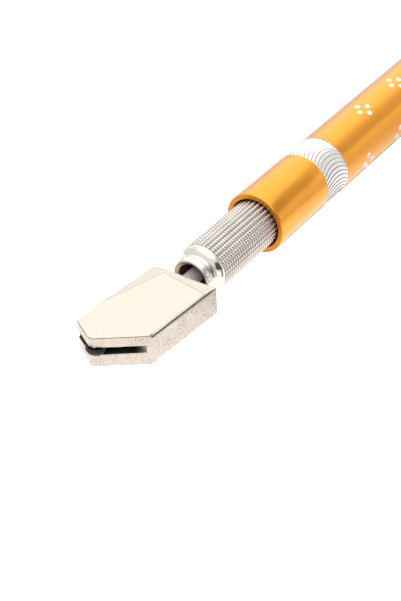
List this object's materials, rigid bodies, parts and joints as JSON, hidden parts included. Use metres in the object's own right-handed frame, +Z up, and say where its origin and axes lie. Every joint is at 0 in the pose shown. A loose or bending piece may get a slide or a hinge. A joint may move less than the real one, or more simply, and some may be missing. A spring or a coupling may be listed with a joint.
{
  "type": "glass cutter",
  "caption": "Pencil-grip oil-feed glass cutter: swivelling cast wheel head on a sprung stem, knurled collar, tubular gold handle that holds the oil, and a screw filler cap.",
  "frame": {"origin": "on the surface that the handle lies on, under the middle of the tool's length, below the handle's axis", "axes": "+X along the tool from the wheel to the filler cap, +Z up and square to the head's broad faces"},
  "size_m": [0.176, 0.0156, 0.013],
  "materials": {
    "gold_anodised": "gold anodised, satin gloss, bright-cut bands and dimples",
    "polished_nickel": "bright nickel plate on brass",
    "nickel_casting": "warm nickel plate on a casting, broad faces ground",
    "turned_brass": "turned",
    "bronze": "turned, oiled",
    "steel": "ground, dark",
    "carbide": "lapped, dark grey",
    "rubber": "moulded",
    "cotton": "twisted, oiled"
  },
  "bodies": {
    "handle": {"handle_tube": "gold_anodised", "front_insert": "turned_brass", "rear_insert": "turned_brass"},
    "collar_seal": {"collar_o_ring": "rubber"},
    "collar": {"knurled_collar": "polished_nickel", "stem_guide_bush": "bronze", "stem_seal": "rubber", "valve_seat": "turned_brass", "spring_retainer": "turned_brass", "return_spring": "steel"},
    "valve": {"valve_plunger": "turned_brass", "valve_seal": "rubber"},
    "stem": {"head_stem": "steel", "stem_retaining_ring": "steel"},
    "head": {"head_block": "nickel_casting", "head_screw": "steel", "wheel_axle": "steel", "oil_wick": "cotton"},
    "wheel": {"cutting_wheel": "carbide"},
    "cap_seal": {"cap_o_ring": "rubber"},
    "cap": {"oil_cap": "gold_anodised"}
  },
  "joints": [
    {"name": "collar_slide", "type": "slide", "parent": "handle", "child": "collar_seal", "axis": [-1, 0, 0], "range_m": [0, 0.01]},
    {"name": "collar_turn", "type": "hinge", "parent": "collar_seal", "child": "collar", "pos_m": [-0.0359, 0, 0.0065], "axis": [-1, 0, 0], "range_deg": [0, 3600]},
    {"name": "head_press", "type": "slide", "parent": "collar", "child": "stem", "axis": [1, 0, 0], "range_m": [0, 0.0009], "stiffness_N_per_m": 2000, "springref_m": -0.0015},
    {"name": "valve_lift", "type": "slide", "parent": "collar", "child": "valve", "axis": [1, 0, 0], "range_m": [0, 0.0009], "deforming": ["return_spring"]},
    {"name": "head_swivel", "type": "hinge", "parent": "stem", "child": "head", "pos_m": [-0.0669, 0, 0.0065], "axis": [1, 0, 0], "range_deg": [-12, 12]},
    {"name": "wheel_spin", "type": "hinge", "parent": "head", "child": "wheel", "pos_m": [-0.08595, 0.00225, 0.00673], "axis": [0, 0, 1], "continuous": true},
    {"name": "cap_slide", "type": "slide", "parent": "handle", "child": "cap_seal", "axis": [1, 0, 0], "range_m": [0, 0.007]},
    {"name": "cap_turn", "type": "hinge", "parent": "cap_seal", "child": "cap", "pos_m": [0.0771, 0, 0.0065], "axis": [1, 0, 0], "range_deg": [0, 2520]}
  ],
  "couplings": [
    {"joint": "collar_slide", "follows": "collar_turn", "m_per_rad": 0.00015915},
    {"joint": "cap_slide", "follows": "cap_turn", "m_per_rad": 0.00015915},
    {"joint": "valve_lift", "follows": "head_press", "ratio": 1}
  ]
}
